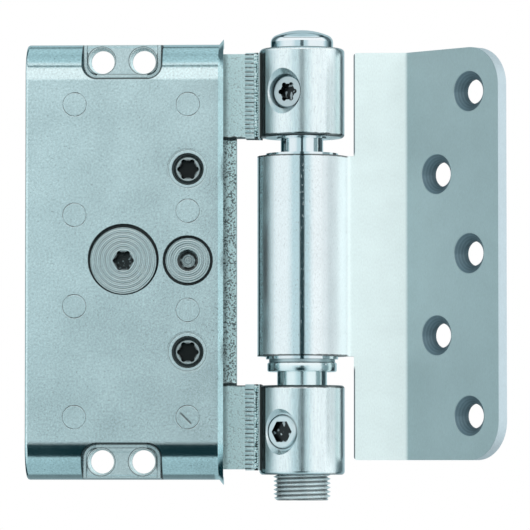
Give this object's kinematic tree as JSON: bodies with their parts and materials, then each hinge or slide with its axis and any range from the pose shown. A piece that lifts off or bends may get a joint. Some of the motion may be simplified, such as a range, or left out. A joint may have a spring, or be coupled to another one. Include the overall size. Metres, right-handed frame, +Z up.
{
  "type": "barrel hinge",
  "caption": "Three-part barrel hinge for a heavy door: a receiver let into the frame, with side and height adjustment, and a bent leaf with countersunk holes.",
  "frame": {"origin": "on the pin axis, in the middle of the knuckle stack", "axes": "+Z up along the pin, +X from the receiver towards the leaf, -Y towards the side that is seen"},
  "size_m": [0.1124, 0.0314, 0.1105],
  "materials": {
    "cover_zinc": "satin zinc plating on bent sheet",
    "block_zinc": "zinc plating on a machined block",
    "plain_zinc": "zinc plating",
    "turned_zinc": "zinc plating over turning marks",
    "carrier_zinc": "zinc plating on cut plate",
    "knuckle_zinc": "bright zinc plating on turned steel",
    "weld_zinc": "zinc plating over a rippled weld bead",
    "pin_zinc": "bright zinc plating",
    "screw_steel": "zinc plating with dark sockets",
    "bush_zinc": "bright zinc plating",
    "leaf_zinc": "fine satin zinc plating"
  },
  "bodies": {
    "receiver": {"receiver_cover": "cover_zinc", "receiver_base": "plain_zinc", "upper_fixing_block": "block_zinc", "lower_fixing_block": "block_zinc", "rivet_posts": "cover_zinc", "guide_pin": "turned_zinc", "upper_clamp_nut": "cover_zinc", "lower_clamp_nut": "cover_zinc", "upper_clamp_screw": "screw_steel", "lower_clamp_screw": "screw_steel"},
    "adjuster": {"eccentric_adjuster": "turned_zinc"},
    "carrier": {"carrier_plate": "carrier_zinc", "upper_knuckle": "knuckle_zinc", "lower_knuckle": "knuckle_zinc", "upper_weld": "weld_zinc", "lower_weld": "weld_zinc", "hinge_pin": "pin_zinc", "pin_sleeve": "pin_zinc", "upper_set_screw": "screw_steel", "lower_set_screw": "screw_steel"},
    "lift": {"thrust_washer": "plain_zinc"},
    "bush": {"height_bush": "pin_zinc"},
    "door_leaf": {"leaf": "leaf_zinc", "upper_bearing_bush": "bush_zinc", "lower_bearing_bush": "bush_zinc"}
  },
  "joints": [
    {"name": "carrier_slide", "type": "slide", "parent": "receiver", "child": "carrier", "axis": [1, 0, 0], "range_m": [-0.002, 0.002]},
    {"name": "eccentric_turn", "type": "hinge", "parent": "receiver", "child": "adjuster", "pos_m": [-0.04155, 0, 0], "axis": [0, 1, 0], "range_deg": [-57.3, 57.3]},
    {"name": "leaf_lift", "type": "slide", "parent": "carrier", "child": "lift", "axis": [0, 0, 1], "range_m": [-0.003, 0.003]},
    {"name": "bush_turn", "type": "hinge", "parent": "lift", "child": "bush", "pos_m": [0, 0, -0.04], "axis": [0, 0, 1], "range_deg": [-1080, 1080]},
    {"name": "leaf_swing", "type": "hinge", "parent": "lift", "child": "door_leaf", "pos_m": [0, 0, 0], "axis": [0, 0, 1], "range_deg": [-137.5, 42.5]}
  ],
  "couplings": [
    {"joint": "eccentric_turn", "follows": "carrier_slide", "rad_per_m": 500},
    {"joint": "bush_turn", "follows": "leaf_lift", "rad_per_m": 6283.2}
  ]
}
